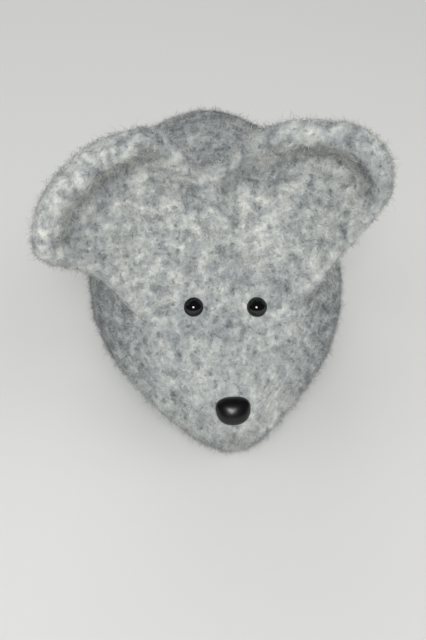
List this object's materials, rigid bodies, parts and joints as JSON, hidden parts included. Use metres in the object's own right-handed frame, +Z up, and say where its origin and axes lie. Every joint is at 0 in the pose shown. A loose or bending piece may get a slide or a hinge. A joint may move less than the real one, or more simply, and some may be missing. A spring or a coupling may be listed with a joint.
{
  "type": "catnip mouse",
  "caption": "Plump grey felt toy mouse with cupped floppy ears, bead eyes, a button nose and a catnip sachet in its stuffing.",
  "frame": {"origin": "middle of the flat belly, on the surface that the mouse sits on", "axes": "+Z up, -Y the way the nose points, +X the mouse's own left"},
  "size_m": [0.0899, 0.1181, 0.0843],
  "materials": {
    "grey_felt": "fulled wool, heathered",
    "grey_yarn": "spun wool",
    "black_gloss": "gloss",
    "black_satin": "satin",
    "clear_washer": "milky plastic",
    "fibrefill": "loose polyester fibre",
    "muslin": "plain woven cotton",
    "dried_leaf": "dry crumbled leaf",
    "cotton_string": "twisted cotton"
  },
  "bodies": {
    "body": {"body_cover": "grey_felt", "left_ear_yarn": "grey_yarn", "right_ear_yarn": "grey_yarn", "closing_stitches": "grey_yarn", "left_eye": "black_gloss", "right_eye": "black_gloss", "left_eye_washer": "clear_washer", "right_eye_washer": "clear_washer", "nose": "black_satin", "nose_washer": "clear_washer", "front_stuffing": "fibrefill", "rear_stuffing": "fibrefill", "catnip_pouch": "muslin", "catnip": "dried_leaf", "pouch_tie": "cotton_string"},
    "left_flap": {"left_ear": "grey_felt"},
    "right_flap": {"right_ear": "grey_felt"}
  },
  "joints": [
    {"name": "left_ear_flop", "type": "hinge", "parent": "body", "child": "left_flap", "pos_m": [0.01169, -0.02499, 0.04112], "axis": [0.7917, -0.3545, -0.4975], "range_deg": [-20, 25], "stiffness_Nm_per_rad": 0.03},
    {"name": "right_ear_flop", "type": "hinge", "parent": "body", "child": "right_flap", "pos_m": [-0.01169, -0.02499, 0.04112], "axis": [0.7917, 0.3545, 0.4975], "range_deg": [-20, 25], "stiffness_Nm_per_rad": 0.03}
  ]
}
